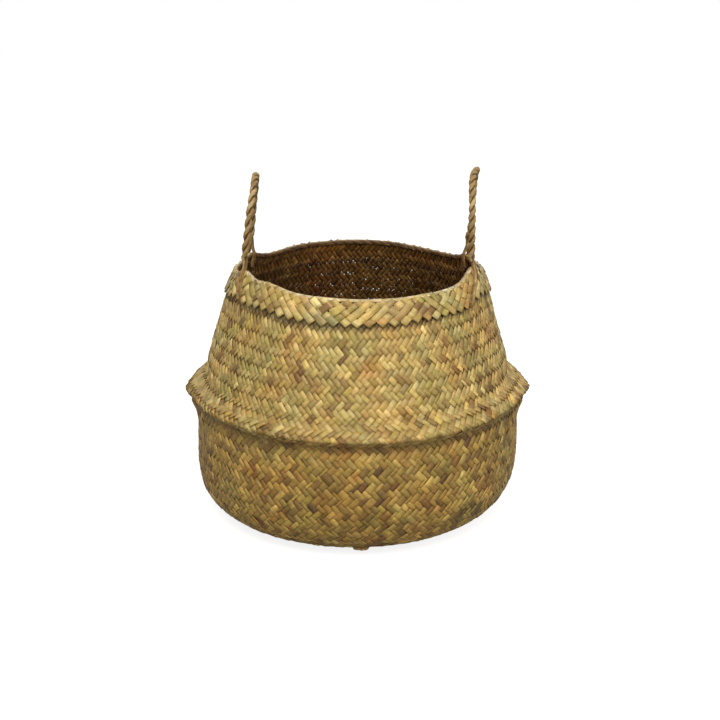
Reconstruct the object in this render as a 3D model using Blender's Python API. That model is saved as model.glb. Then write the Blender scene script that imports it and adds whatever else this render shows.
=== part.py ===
"""Belly basket of plaited seagrass: bowl, folded ridge, tapered neck, rim band, two rope handles.

Metres, +Z up. The origin is the middle of the bottom's underside. The front is -Y, and the
handles stand at -X (left) and +X (right).
"""

import math

import bmesh
import bpy
from mathutils import Matrix, Vector

# Driving sizes of the plaited wall, all on its outer side
BASE_RADIUS = 0.105
BASE_INSET = 0.004
CORNER_RISE = 0.058
BOWL_RADIUS = 0.1655
BOWL_TOP_RADIUS = 0.1640
BOWL_TOP_HEIGHT = 0.1232
BOWL_BULGE = 0.0008
RIDGE_OVERHANG = 0.0097
RIDGE_RISE = 0.0068
LIP_RADIUS = 0.0033
NECK_FOOT_INSET = 0.0085
NECK_FOOT_RISE = 0.0155
NECK_BULGE = 0.0006
BAND_FOOT_RADIUS = 0.1305
NECK_RISE = 0.0835
RIM_RADIUS = 0.1240
BAND_RISE = 0.0215

# Thicknesses and clearances
WALL = 0.0026
BASE_THICKNESS = 0.0030
BAND_LAYER = 0.0018
EDGE_HEIGHT = 0.0034
EDGE_PROUD = 0.0004
GAP = 0.0003

# Handles: twisted rope, standing in the two slits of the rim at each side
ROPE_RADIUS = 0.0037
LEFT_HANDLE_HEIGHT = 0.0755
RIGHT_HANDLE_HEIGHT = 0.0803
HANDLE_HALF_WIDTH = 0.0530
HANDLE_SHOULDER = 2.6
HANDLE_SIDES = 10
HANDLE_STEPS = 40
LEFT_LEAN_DEGREES = 6.6
RIGHT_LEAN_DEGREES = 0.9
RIM_LIFT = 0.0050
LIFT_WIDTH = 0.0160

# Plies that part over the rim under each handle's foot, and their knots
PLY_RADIUS = 0.0021
PLY_SIDES = 8
KNOT_RADIUS = 0.0052
KNOT_DROP = 0.0140
BALL_RINGS = 3

# The knot of strip ends under the front of the bottom
BASE_KNOT_RADIUS = 0.0065
BASE_KNOT_DEPTH = 0.0042
BASE_KNOT_HEIGHT = 0.0018
BASE_KNOT_SHARE = 0.4

SEGMENTS = 72
CORNER_STEPS = 9
LIP_STEPS = 5
LIP_START_DEGREES = 52
LIP_END_DEGREES = -66
WALL_STEPS = 4
KNOT_DIVISIONS = 2
SMOOTH_DEGREES = 40
MITRE_LIMIT = 0.5

# Heights up the bowl and the neck at which the walls swell most, as shares of the wall
BULGE_SHARES = [0.25, 0.5, 0.75]

GRASS = (0.44, 0.33, 0.13, 1.0)
GRASS_DARK = (0.30, 0.21, 0.075, 1.0)
GRASS_PALE = (0.52, 0.40, 0.18, 1.0)
ROPE = (0.42, 0.29, 0.12, 1.0)
SEAGRASS_ROUGHNESS = 0.62


def clear_scene():
    """Remove whatever the open file holds."""
    for item in list(bpy.data.objects):
        bpy.data.objects.remove(item, do_unlink=True)


def finish_material(name, color, roughness=SEAGRASS_ROUGHNESS):
    """A plain dry-fibre finish of one colour."""
    material = bpy.data.materials.new(name)
    material.use_nodes = True
    shader = material.node_tree.nodes["Principled BSDF"]
    shader.inputs["Base Color"].default_value = color
    shader.inputs["Roughness"].default_value = roughness
    shader.inputs["Metallic"].default_value = 0.0
    return material


def add_mesh_object(name, mesh_builder, color, smooth_degrees=SMOOTH_DEGREES):
    """Turn a bmesh into an object of its own, with outward faces and its own material."""
    bmesh.ops.recalc_face_normals(mesh_builder, faces=mesh_builder.faces)
    mesh = bpy.data.meshes.new(name)
    mesh_builder.to_mesh(mesh)
    mesh_builder.free()
    mesh.shade_smooth()
    mesh.set_sharp_from_angle(angle=math.radians(smooth_degrees))
    mesh.materials.append(finish_material(name, color))
    item = bpy.data.objects.new(name, mesh)
    bpy.context.scene.collection.objects.link(item)
    return item


def ridge_height():
    """Height of the middle of the lip's round edge."""
    return BOWL_TOP_HEIGHT + RIDGE_RISE


def ridge_radius():
    """Outermost radius of the lip, which hangs out over the bowl's top."""
    return BOWL_TOP_RADIUS + RIDGE_OVERHANG


def neck_foot():
    """(radius, height) at which the neck rises out of the fold."""
    return (BOWL_TOP_RADIUS - NECK_FOOT_INSET, ridge_height() + NECK_FOOT_RISE)


def band_foot_height():
    """Height of the rim band's lower edge."""
    return neck_foot()[1] + NECK_RISE


def rim_height():
    """Height of the mouth's edge between the handles."""
    return band_foot_height() + BAND_RISE


def handle_angle():
    """Angle round the rim, from the X axis, at which a handle's foot stands."""
    return math.asin(HANDLE_HALF_WIDTH / wall_middle(RIM_RADIUS))


def wall_middle(outer_radius):
    """Radius of the middle of the plaited wall."""
    return outer_radius - WALL / 2


def foot_places():
    """Name, side, and angle round the rim of each of the four handle feet."""
    angle = handle_angle()
    return [
        ("left_front", math.pi + angle),
        ("left_rear", math.pi - angle),
        ("right_front", -angle),
        ("right_rear", angle),
    ]


def rim_lift(angle):
    """How far the ropes pull the rim's edge up at this angle."""
    total = 0.0
    for _, place in foot_places():
        turn = math.remainder(angle - place, 2 * math.pi)
        total += math.exp(-((turn * RIM_RADIUS / LIFT_WIDTH) ** 2))
    return RIM_LIFT * min(total, 1.0)


def lifted_height(height, angle):
    """A height on the rim band, raised towards the edge where the ropes pull."""
    share = (height - band_foot_height()) / BAND_RISE
    return height + rim_lift(angle) * max(share, 0.0)


def turned_shell(outline, lifted=False):
    """Revolve a closed outline of (radius, height) points about Z."""
    shape = bmesh.new()
    rings = []
    for step in range(SEGMENTS):
        angle = 2 * math.pi * step / SEGMENTS
        ring = []
        for radius, height in outline:
            z = lifted_height(height, angle) if lifted else height
            ring.append(shape.verts.new((radius * math.cos(angle), radius * math.sin(angle), z)))
        rings.append(ring)
    count = len(outline)
    for step in range(SEGMENTS):
        here, there = rings[step], rings[(step + 1) % SEGMENTS]
        for row in range(count):
            after = (row + 1) % count
            shape.faces.new((here[row], there[row], there[after], here[after]))
    return shape


def turned_disc(outline):
    """Revolve an outline that starts and ends on the Z axis."""
    shape = bmesh.new()
    bottom = shape.verts.new((0, 0, outline[0][1]))
    top = shape.verts.new((0, 0, outline[-1][1]))
    rings = []
    for step in range(SEGMENTS):
        angle = 2 * math.pi * step / SEGMENTS
        ring = []
        for radius, height in outline[1:-1]:
            point = (radius * math.cos(angle), radius * math.sin(angle), height)
            ring.append(shape.verts.new(point))
        rings.append(ring)
    for step in range(SEGMENTS):
        here, there = rings[step], rings[(step + 1) % SEGMENTS]
        shape.faces.new((bottom, there[0], here[0]))
        shape.faces.new((top, here[-1], there[-1]))
        for row in range(len(here) - 1):
            shape.faces.new((here[row], there[row], there[row + 1], here[row + 1]))
    return shape


def inward_offset(points, thickness):
    """The inner side of a wall whose outer side follows these points upwards."""
    result = []
    for index, point in enumerate(points):
        before = points[max(index - 1, 0)]
        after = points[min(index + 1, len(points) - 1)]
        first = Vector((point[0] - before[0], point[1] - before[1]))
        second = Vector((after[0] - point[0], after[1] - point[1]))
        first = (first if first.length else second).normalized()
        second = (second if second.length else first).normalized()
        mitre = (first + second).normalized()
        normal = Vector((-mitre.y, mitre.x))
        reach = thickness / max(mitre.dot(second), MITRE_LIMIT)
        result.append((point[0] + normal.x * reach, point[1] + normal.y * reach))
    return result


def wall_outline(outer, thickness=WALL):
    """Closed outline of a wall of one thickness, from the upward run of its outer side."""
    return outer + list(reversed(inward_offset(outer, thickness)))


def swollen_run(low, high, bulge):
    """A nearly straight run between two (radius, height) points that swells a little."""
    points = [low]
    for share in BULGE_SHARES:
        radius = low[0] + (high[0] - low[0]) * share + bulge * math.sin(math.pi * share)
        points.append((radius, low[1] + (high[1] - low[1]) * share))
    points.append(high)
    return points


def make_base_mat():
    """The flat plaited bottom, inside the foot of the bowl's corner."""
    edge = BASE_RADIUS - GAP
    outline = [(0, 0), (edge - BASE_INSET, 0), (edge, 0)]
    outline += [(edge, BASE_THICKNESS), (edge - BASE_INSET, BASE_THICKNESS), (0, BASE_THICKNESS)]
    return add_mesh_object("base_mat", turned_disc(outline), GRASS_DARK)


def make_belly_wall():
    """The bowl: a quarter-ellipse corner, then a nearly upright wall up to the fold."""
    outer = []
    for step in range(CORNER_STEPS + 1):
        turn = math.pi / 2 * step / CORNER_STEPS
        radius = BASE_RADIUS + (BOWL_RADIUS - BASE_RADIUS) * math.sin(turn)
        outer.append((radius, CORNER_RISE * (1 - math.cos(turn))))
    top = (BOWL_TOP_RADIUS, BOWL_TOP_HEIGHT - GAP)
    outer += swollen_run((BOWL_RADIUS, CORNER_RISE), top, BOWL_BULGE)[1:]
    outline = wall_outline(outer)
    outline[-1] = (BASE_RADIUS, BASE_THICKNESS)
    outline[len(outer)] = (BOWL_TOP_RADIUS - WALL, BOWL_TOP_HEIGHT - GAP)
    return add_mesh_object("belly_wall", turned_shell(outline), GRASS_DARK)


def ridge_outer_run():
    """Outer side of the fold, from the bowl's top round the lip to the neck's foot."""
    run = [(BOWL_TOP_RADIUS, BOWL_TOP_HEIGHT)]
    for step in range(LIP_STEPS + 1):
        share = step / LIP_STEPS
        degrees = LIP_END_DEGREES + (LIP_START_DEGREES - LIP_END_DEGREES) * share
        turn = math.radians(degrees)
        radius = ridge_radius() - LIP_RADIUS + LIP_RADIUS * math.cos(turn)
        run.append((radius, ridge_height() + LIP_RADIUS * math.sin(turn)))
    foot_radius, foot_height = neck_foot()
    run.append((foot_radius, foot_height - GAP))
    return run


def make_fold_ridge():
    """The creased lip: the wall turned back over the bowl."""
    outer = ridge_outer_run()
    outline = wall_outline(outer)
    outline[-1] = (BOWL_TOP_RADIUS - WALL, BOWL_TOP_HEIGHT)
    foot_radius, foot_height = outer[-1]
    outline[len(outer)] = (foot_radius - WALL, foot_height)
    return add_mesh_object("fold_ridge", turned_shell(outline), GRASS)


def make_neck_wall():
    """The tapering wall between the fold and the rim band."""
    high = (BAND_FOOT_RADIUS, band_foot_height() - GAP)
    outer = swollen_run(neck_foot(), high, NECK_BULGE)
    inner = [(radius - WALL, height) for radius, height in outer]
    outline = outer + list(reversed(inner))
    return add_mesh_object("neck_wall", turned_shell(outline), GRASS)


def band_radius(height):
    """Outer radius of the neck's own weave behind the rim band."""
    share = (height - band_foot_height()) / BAND_RISE
    return BAND_FOOT_RADIUS + (RIM_RADIUS - BAND_FOOT_RADIUS) * share


def edge_foot_height():
    """Height at which the two layers of the rim meet the folded edge."""
    return rim_height() - EDGE_HEIGHT


def make_rim_band_inner():
    """The neck's own weave where it stands behind the band."""
    top = edge_foot_height() - GAP
    outer = [(band_radius(band_foot_height()), band_foot_height()), (band_radius(top), top)]
    inner = [(radius - WALL, height) for radius, height in outer]
    outline = outer + list(reversed(inner))
    return add_mesh_object("rim_band_inner", turned_shell(outline, lifted=True), GRASS_DARK)


def make_rim_band_outer():
    """The strips folded down outside the rim, as a second layer."""
    top = edge_foot_height() - GAP
    low = band_radius(band_foot_height()) + GAP
    high = band_radius(top) + GAP
    outline = [(low + BAND_LAYER, band_foot_height()), (high + BAND_LAYER, top)]
    outline += [(high, top), (low, band_foot_height())]
    return add_mesh_object("rim_band_outer", turned_shell(outline, lifted=True), GRASS_PALE)


def make_rim_edge():
    """The folded edge along the mouth, over both layers."""
    foot = edge_foot_height()
    outer = band_radius(foot) + GAP + BAND_LAYER + EDGE_PROUD
    inner = band_radius(foot) - WALL - EDGE_PROUD
    middle = (outer + inner) / 2
    half_width = (outer - inner) / 2
    outline = [(inner, foot), (outer, foot)]
    for step in range(1, WALL_STEPS):
        turn = math.pi * step / WALL_STEPS
        outline.append((middle + half_width * math.cos(turn), foot + EDGE_HEIGHT * math.sin(turn)))
    return add_mesh_object("rim_edge", turned_shell(outline, lifted=True), GRASS_PALE)


def swept_tube(points, radius, sides):
    """A round tube along the points, closed by round ends."""
    tangents = []
    for index in range(len(points)):
        before = points[max(index - 1, 0)]
        after = points[min(index + 1, len(points) - 1)]
        tangents.append((after - before).normalized())
    stations = []
    for ring in range(BALL_RINGS):
        turn = math.pi / 2 * (ring + 1) / (BALL_RINGS + 1)
        stations.append((points[0] - tangents[0] * radius * math.cos(turn), radius * math.sin(turn), 0))
    for index, point in enumerate(points):
        stations.append((point, radius, index))
    last = len(points) - 1
    for ring in reversed(range(BALL_RINGS)):
        turn = math.pi / 2 * (ring + 1) / (BALL_RINGS + 1)
        stations.append((points[-1] + tangents[-1] * radius * math.cos(turn), radius * math.sin(turn), last))
    side = tangents[0].orthogonal().normalized()
    shape = bmesh.new()
    rings = []
    for centre, size, index in stations:
        along = tangents[index]
        side = (side - along * side.dot(along)).normalized()
        other = along.cross(side)
        ring = []
        for step in range(sides):
            turn = 2 * math.pi * step / sides
            ring.append(shape.verts.new(centre + (side * math.cos(turn) + other * math.sin(turn)) * size))
        rings.append(ring)
    for here, there in zip(rings, rings[1:]):
        for step in range(sides):
            after = (step + 1) % sides
            shape.faces.new((here[step], here[after], there[after], there[step]))
    tip = shape.verts.new(points[0] - tangents[0] * radius)
    end = shape.verts.new(points[-1] + tangents[-1] * radius)
    for step in range(sides):
        after = (step + 1) % sides
        shape.faces.new((tip, rings[0][after], rings[0][step]))
        shape.faces.new((end, rings[-1][step], rings[-1][after]))
    return shape


def straddle_clearance():
    """Distance from a wall's face to the middle of a ply that lies on it."""
    return PLY_RADIUS + GAP


def straddle_top():
    """Height of the middle of a ply where it crosses the rim's edge at a handle's foot."""
    return rim_height() + RIM_LIFT + straddle_clearance()


def hinge_height():
    """Height about which a handle swings: its rope's end just clears the crossing ply."""
    return straddle_top() + PLY_RADIUS + GAP + ROPE_RADIUS


def hinge_place():
    """Distance of a handle's feet from the YZ plane."""
    return wall_middle(RIM_RADIUS) * math.cos(handle_angle())


def handle_path(height):
    """The arch of the rope in its own upright plane: feet at zero, apex at this height."""
    points = []
    for step in range(HANDLE_STEPS + 1):
        turn = math.pi * step / HANDLE_STEPS
        across = -math.copysign(abs(math.cos(turn)) ** (2 / HANDLE_SHOULDER), math.cos(turn))
        up = math.sin(turn) ** (2 / HANDLE_SHOULDER)
        points.append(Vector((0, across * HANDLE_HALF_WIDTH, up * height)))
    return points


def even_path(points, count):
    """The same path with its points spread evenly along it."""
    lengths = [0.0]
    for here, there in zip(points, points[1:]):
        lengths.append(lengths[-1] + (there - here).length)
    result = []
    index = 0
    for step in range(count + 1):
        target = lengths[-1] * step / count
        while index < len(points) - 2 and lengths[index + 1] < target:
            index += 1
        span = lengths[index + 1] - lengths[index]
        result.append(points[index].lerp(points[index + 1], (target - lengths[index]) / span))
    return result


def make_handle(name, side, height, lean_degrees):
    """One rope loop on an empty at the axis that it swings about."""
    axis = bpy.data.objects.new(name + "_axis", None)
    axis.location = (side * hinge_place(), 0, hinge_height())
    axis.rotation_euler = (0, math.radians(lean_degrees), 0)
    bpy.context.scene.collection.objects.link(axis)
    path = even_path(handle_path(height), HANDLE_STEPS)
    item = add_mesh_object(name, swept_tube(path, ROPE_RADIUS, HANDLE_SIDES), ROPE)
    item.parent = axis
    return item


def straddle_path():
    """The ply's way over the rim, as (radius, height): up the band, over the edge, down inside."""
    clear = straddle_clearance()
    foot = edge_foot_height()
    outside = BAND_LAYER + GAP + EDGE_PROUD + clear
    inside = -WALL - EDGE_PROUD - clear
    low = (band_radius(band_foot_height()) + outside, band_foot_height())
    outer_top = (band_radius(foot) + outside, foot + RIM_LIFT)
    inner_top = (band_radius(foot) + inside, foot + RIM_LIFT)
    middle = (outer_top[0] + inner_top[0]) / 2
    half_width = (outer_top[0] - inner_top[0]) / 2
    rise = straddle_top() - outer_top[1]
    points = [low, ((low[0] + outer_top[0]) / 2, (low[1] + outer_top[1]) / 2), outer_top]
    for step in range(1, PLY_SIDES):
        turn = math.pi * step / PLY_SIDES
        points.append((middle + half_width * math.cos(turn), outer_top[1] + rise * math.sin(turn)))
    points.append(inner_top)
    knot_radius, knot_height = tail_knot_place()
    points.append((knot_radius, knot_height + KNOT_RADIUS + PLY_RADIUS + GAP))
    return points


def tail_knot_place():
    """(radius, height) of the middle of a tail knot, which lies against the inner wall."""
    height = straddle_top() - KNOT_DROP - KNOT_RADIUS
    return (band_radius(height) - WALL - KNOT_RADIUS - GAP, height)


def make_straddle(name, angle):
    """One ply of rope over the rim, from the slit outside to the knot inside."""
    outward = Vector((math.cos(angle), math.sin(angle), 0))
    points = [outward * radius + Vector((0, 0, height)) for radius, height in straddle_path()]
    tube = swept_tube(points, PLY_RADIUS, PLY_SIDES)
    return add_mesh_object("straddle_" + name, tube, ROPE)


def make_tail_knot(name, angle):
    """The knot that keeps a handle's foot from pulling out."""
    radius, height = tail_knot_place()
    knot = bmesh.new()
    bmesh.ops.create_icosphere(knot, subdivisions=KNOT_DIVISIONS, radius=KNOT_RADIUS)
    item = add_mesh_object("tail_knot_" + name, knot, ROPE)
    item.location = (radius * math.cos(angle), radius * math.sin(angle), height)
    return item


def make_base_knot():
    """The knot of strip ends under the front of the bottom, just clear of the floor."""
    knot = bmesh.new()
    bmesh.ops.create_icosphere(knot, subdivisions=KNOT_DIVISIONS, radius=1)
    sizes = (BASE_KNOT_RADIUS, BASE_KNOT_DEPTH, BASE_KNOT_HEIGHT)
    bmesh.ops.transform(knot, matrix=Matrix.Diagonal((*sizes, 1)), verts=knot.verts)
    item = add_mesh_object("base_knot", knot, GRASS_DARK)
    place = BASE_RADIUS + (BOWL_RADIUS - BASE_RADIUS) * BASE_KNOT_SHARE
    item.location = (0, -place, BASE_KNOT_HEIGHT + GAP)
    return item


def main():
    """Build the whole basket."""
    clear_scene()
    make_base_mat()
    make_belly_wall()
    make_fold_ridge()
    make_neck_wall()
    make_rim_band_inner()
    make_rim_band_outer()
    make_rim_edge()
    make_handle("handle_left", -1, LEFT_HANDLE_HEIGHT, LEFT_LEAN_DEGREES)
    make_handle("handle_right", 1, RIGHT_HANDLE_HEIGHT, RIGHT_LEAN_DEGREES)
    for name, angle in foot_places():
        make_straddle(name, angle)
        make_tail_knot(name, angle)
    make_base_knot()
    bpy.context.view_layer.update()


main()
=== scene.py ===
"""The belly basket of plaited seagrass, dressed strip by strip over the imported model.

Metres, +Z up. The front is -Y, and the handles stand at -X (left) and +X (right).
"""
import math

import bpy
import numpy as np
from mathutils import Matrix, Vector


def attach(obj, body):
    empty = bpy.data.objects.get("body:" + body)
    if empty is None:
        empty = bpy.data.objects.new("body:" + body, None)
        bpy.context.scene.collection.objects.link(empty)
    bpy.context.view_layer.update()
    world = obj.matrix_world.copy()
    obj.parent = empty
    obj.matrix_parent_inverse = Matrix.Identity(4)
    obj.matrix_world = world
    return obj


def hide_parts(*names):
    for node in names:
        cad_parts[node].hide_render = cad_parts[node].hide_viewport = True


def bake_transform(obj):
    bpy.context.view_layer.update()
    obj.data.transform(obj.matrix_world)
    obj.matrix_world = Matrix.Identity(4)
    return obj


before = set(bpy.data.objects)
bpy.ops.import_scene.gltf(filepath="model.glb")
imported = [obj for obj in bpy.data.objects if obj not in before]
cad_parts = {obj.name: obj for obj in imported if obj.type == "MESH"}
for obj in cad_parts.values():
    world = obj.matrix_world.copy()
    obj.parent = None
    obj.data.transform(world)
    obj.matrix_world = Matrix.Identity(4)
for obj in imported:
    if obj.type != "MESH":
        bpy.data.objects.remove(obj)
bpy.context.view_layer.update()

# Sides of the basket, and the two leans of its strips. Ends of a handle
LEFT, RIGHT = -1, 1
FRONT, REAR = 0, 1

# Outer side of the plaited wall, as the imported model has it: radii, heights, and the places
# (radius, height) where one stretch of it ends and the next begins
BASE_RADIUS = 0.105
CORNER_RISE = 0.058
BOWL_RADIUS = 0.1655
BOWL_TOP = (0.1636, 0.1205)
BOWL_BULGE = 0.0008
RIDGE_RADIUS = 0.1737
RIDGE_HEIGHT = 0.1300
LIP_RADIUS = 0.0022
LIP_TURNS = (-66, 52)
NECK_FOOT = (0.1555, 0.1455)
NECK_BULGE = 0.0006
BAND_FOOT = (0.1305, 0.2290)
RIM = (0.1240, 0.2505)
HALF_WALL = 0.00115
# How far under the rim the neck's own strips end
EDGE_HEIGHT = 0.0034
LINE_STEP = 0.0005
LINE_SOFTENING = 5
CORNER_POINTS = 60
LIP_POINTS = 13
# Near the lip the strips on its inside lie closer to the middle of the wall, and all strips are
# cut into shorter sections for this many rows to both sides
LIP_REACH = 0.0050
LIP_FLATNESS = 0.75
LIP_ROWS = 3.5

# How the soft basket of the photograph differs from that round and level shape. Its plan has
# blunt corners at the front, back and sides, more so towards the rim (height, power), where a
# power of 2 is a circle. The corners at the front and back are a little blunter
PLAN_POWERS = ((0.120, 2.0), (0.150, 1.90), (0.200, 1.78), (0.229, 1.68))
PLAN_FRONT = 0.16
# The fold's own corners at the sides (height, share of NOSE), and how far it is tucked in all round
NOSE = 0.0070
NOSE_PLACES = {LEFT: math.radians(-8), RIGHT: math.radians(-6)}
NOSE_WIDTH = math.radians(7)
NOSE_ROUNDNESS = math.radians(1.8)
NOSE_HEIGHTS = (
    (0.098, 0), (0.105, 0.2), (0.109, 0.65), (0.113, 1.15), (0.117, 1.5), (0.121, 1.35),
    (0.126, 1.25), (0.130, 1.0), (0.134, 0.5), (0.138, 0.15), (0.142, -0.2), (0.150, -0.35),
    (0.158, 0),
)
FOLD_TUCK = 0.0031
TUCK_HEIGHT = 0.1275
TUCK_REACH = 0.0150
# (height, change): how much wider it is there, and how far it stands to the right, or below 0
# to the left
WIDENING = (
    (0, 0.0050), (0.020, 0.0026), (0.045, -0.0010), (0.095, -0.0018), (0.120, -0.0008),
    (0.200, -0.0006), (0.220, 0.0003), (0.240, 0), (0.2505, -0.0018),
)
LEANING = (
    (0, -0.0040), (0.020, -0.0038), (0.045, -0.0022), (0.080, -0.0012), (0.200, -0.0016),
    (0.260, 0),
)
# (height, share): how deep it is from front to back against its breadth
DEPTHS = ((0, 0.945), (0.020, 0.970), (0.060, 1.0))
RIM_DROP = 0.0034
# Where the rim's edge rises or sinks: degrees round the rim, height, and width in degrees. The
# ropes pull up the first four places, and the wall gives way from LIFT_FOOT up
RIM_LIFTS = (
    (-22, 0.0120, 9), (-157, 0.0085, 8), (160, 0.0050, 7), (20, 0.0036, 7),
    (-136, 0.0052, 12), (-105, 0.0013, 26), (-62, 0.0012, 2), (46, -0.0030, 22),
    (140, -0.0022, 10),
)
LIFT_FOOT = 0.2060

# The plait: flat strips in two leans, woven over two and under two, so that it repeats after four
# rows. Rows are counted along the wall from the middle of the bottom, and each quarter of the
# bottom has as many rows as strips
STRIPS = 144
MAT_ROWS = STRIPS // 4
MAT_REACH = 0.132
MAT_ROW = MAT_REACH / MAT_ROWS
WALL_ROW = 0.00366
BOTTOM_ROWS = 28.5
REPEAT = 4
# In rows: half a strip's width, and how far strips are shifted sideways, usually and at most
HALF_WIDTH = 0.52
UNEVENNESS = 0.14
MOST_UNEVEN = 0.34
# How a strip wanders: (reach in rows, radians a row). It grows over its first WANDER_START rows
WANDER = ((0.03, 0.83), (0.03, 0.31), (0.015, 1.9))
WANDER_START = 3
# A strip starts in the middle of the wall, at the edge of its quarter, and weaves fully after
# START_ROWS. Nothing comes nearer to the middle of the bottom than FIRST_ROW
START_ROWS = 0.5
FIRST_ROW = 0.05
STRIP_THICKNESS = 0.0007
# How far a strip's middle stands up, how far it is rocked, how far single floats stand up, and
# how far the plait rises and dives from the wall's middle
STRIP_CROWN = 0.00022
STRIP_TILT = 0.00026
STRIP_RAISE = 0.00010
WEAVE_RISE = 0.0006
DIVE_STEEPNESS = 2.0
# A strip that dives or bends is cut at each of these parts of a row, but not this close to its ends
SECTION_PARTS = (0, 0.25, 0.5, 0.75)
END_CLEARANCE = 0.05
# Every fourth row the plait sinks in a level groove, where its gaps are wider and carry painted
# shade. The grooves are fullest at the neck's sides. They fade towards the front and back, by the
# cosine of the angle round the basket, and towards the bowl and the bottom, over these rows
GROOVE_ROW = 1.5
GROOVE_WIDTH = 0.5
GROOVE_DEPTH = 0.0005
GROOVE_PINCH = 0.32
GROOVE_AT_FRONT = 0.3
GROOVE_SHADE = 0.7
GROOVES_OF_BOWL = 0.4
SIDE_START = 0.4
SIDE_REACH = 0.5
LIP_FADE = 4
BOTTOM_FADE = 8
# How much narrower a strip is where it dives. Here and there it is as narrow as in a groove
PINCH = 0.08
GAP_CHANCE = 0.16
GAP_PINCH = 1.0
# In the rear wall more than half of the gaps in the grooves open into pin-holes. How far these
# and the other gaps open, against those at the sides
HOLE_CHANCE = 0.6
OPEN_AT_REAR = 3.4
NARROW_AT_REAR = 0.6
# Floats along a strip that have their own height and colour
RUNS = 64
# Across a strip: place between its edges, and height over its middle as shares of half the
# thickness and of the crown. Only its outer and its inner face are shaded smoothly
SECTION = np.array([
    (-1, 0, 0), (-0.93, 1, 0.5), (0.93, 1, 0.5), (1, 0, 0), (0.93, -1, -0.3), (-0.93, -1, -0.3),
])
AROUND = len(SECTION)
SMOOTH_SIDES = (False, True, False, False, True, False)

# The rim's band: wider strips, over one and under one, with slanted ends at its foot. A share of
# the dives is skipped. Up to BAND_END_ROWS a strip keeps its full width, and its end stands out
# from BAND_FOOT_ROW down. The band's floats are counted from BAND_FIRST_RUN on
BAND_STRIPS = 72
BAND_ROW = 0.00455
BAND_START = -0.5
BAND_ROWS = 4.2
FIRST_CROSSING = -2
BAND_CROSSINGS = 16
BAND_OFFSET = 0.0012
BAND_UNEVENNESS = 0.11
BAND_TILT = 0.00028
BAND_SKIPS = 0.20
BAND_FULLNESS = 0.87
BAND_END_ROWS = 0.6
BAND_FOOT_RISE = 0.0009
BAND_FOOT_ROW = 0.4
BAND_FIRST_RUN = 4
# How far the band's line reaches below its foot and over the rim, and where its row -1 lies on it
BAND_BELOW = 0.006
BAND_ABOVE = 0.002
BAND_LINE_START = 0.0058

# The strips folded over the rim: where they lie on its outer and inner side and over its edge
FOLD_STRIPS = 72
FOLD_SLANT = 1.1
FOLD_OUT = 0.0014
FOLD_IN = 0.0022
FOLD_FOOT = 0.0004
FOLD_RISE = 0.0008
FOLD_ROUNDNESS = 0.8
FOLD_POINTS = 40
FOLD_FLARE = 0.0001
FOLD_DOWN_OUTSIDE = 0.0010
FOLD_DOWN_INSIDE = 0.0030
FOLD_SECTIONS = 15
FOLD_SECTIONS_ALIKE = 3
FOLD_UNEVENNESS = 0.1
FOLD_WANDER = 9
FOLD_FIBRES = 4
FOLD_HALF_WIDTH = 0.62
FOLD_HALF_THICKNESS = 0.00025
FOLD_CROWN = 0.0001
FOLD_OVERLAP = 0.00015
# Shares of the way over the rim at which its colour turns into the painted shade of the inner side
FOLD_TURN = 0.30
FOLD_TURN_REACH = 0.25

# The two-ply ropes of the handles. A loop's rounded shape has the power HANDLE_SHOULDER, where 2
# is an ellipse. The hinges stand HINGE_REACH to the sides of the middle
HANDLE_HEIGHTS = {LEFT: 0.0755, RIGHT: 0.0803}
HANDLE_LEANS = {LEFT: math.radians(6.6), RIGHT: math.radians(0.9)}
HANDLE_SHOULDER = 2.6
HANDLE_HALF_WIDTH = 0.0530
WALL_MIDDLE = 0.1227
HINGE_REACH = math.sqrt(WALL_MIDDLE**2 - HANDLE_HALF_WIDTH**2)
HINGE_HEIGHT = 0.2640
# How far in front of and behind the middle each rope's feet stand, and the degrees from its own
# side round to the holes under the band
ROPE_FEET = {LEFT: (0.0490, 0.0400), RIGHT: (0.0475, 0.0395)}
ROPE_HOLES = {LEFT: (27.6, 26.0), RIGHT: (31.6, 26.0)}
# How far each rope bends inward, at shares of its length from the front foot to the rear foot
ROPE_BENDS = {
    LEFT: (
        (0, 0.0014), (0.1, 0.0020), (0.22, 0.0022), (0.36, 0.0032), (0.5, 0.0020),
        (0.64, 0.0012), (0.8, 0), (0.93, 0), (1, 0.0006),
    ),
    RIGHT: (
        (0, 0.0036), (0.1, 0.0041), (0.36, 0.0046), (0.46, 0.0020),
        (0.5, -0.0014), (0.56, -0.0030), (0.9, -0.0033), (1, 0),
    ),
}
ROPE_POINTS = 2001
ROPE_SOFTENING = 60
ROPE_PITCH = 0.0195
PLY_OFFSET = 0.0018
PLY_DEPTH = 0.0017
PLY_BREADTH = 0.0020
PLY_STEP = 0.0007
PLY_SIDES = 16
PLY_SOFTENING = 6
# Steps at each end of a rope's line that its plies leave out on their way over the rim
ROPE_TRIM = 10
# Round a ply: (height, number) of its ridges. Along it: (height, radians a metre) of its swells
PLY_RIDGES = ((0.09, 4), (0.05, 7))
PLY_SWELLS = ((0.05, 310), (0.04, 790))
# A ply begins with this share of its thickness at a cut end, and gains one whole thickness in
# PLY_TAPER until it is full
PLY_END = 0.35
PLY_TAPER = 0.0012
ROPE_TWIST = -120.0
# The plies carry painted shade where they face each other: below this cosine of the way they face
LAID_START = 0.45
LAID_REACH = 0.8
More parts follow.
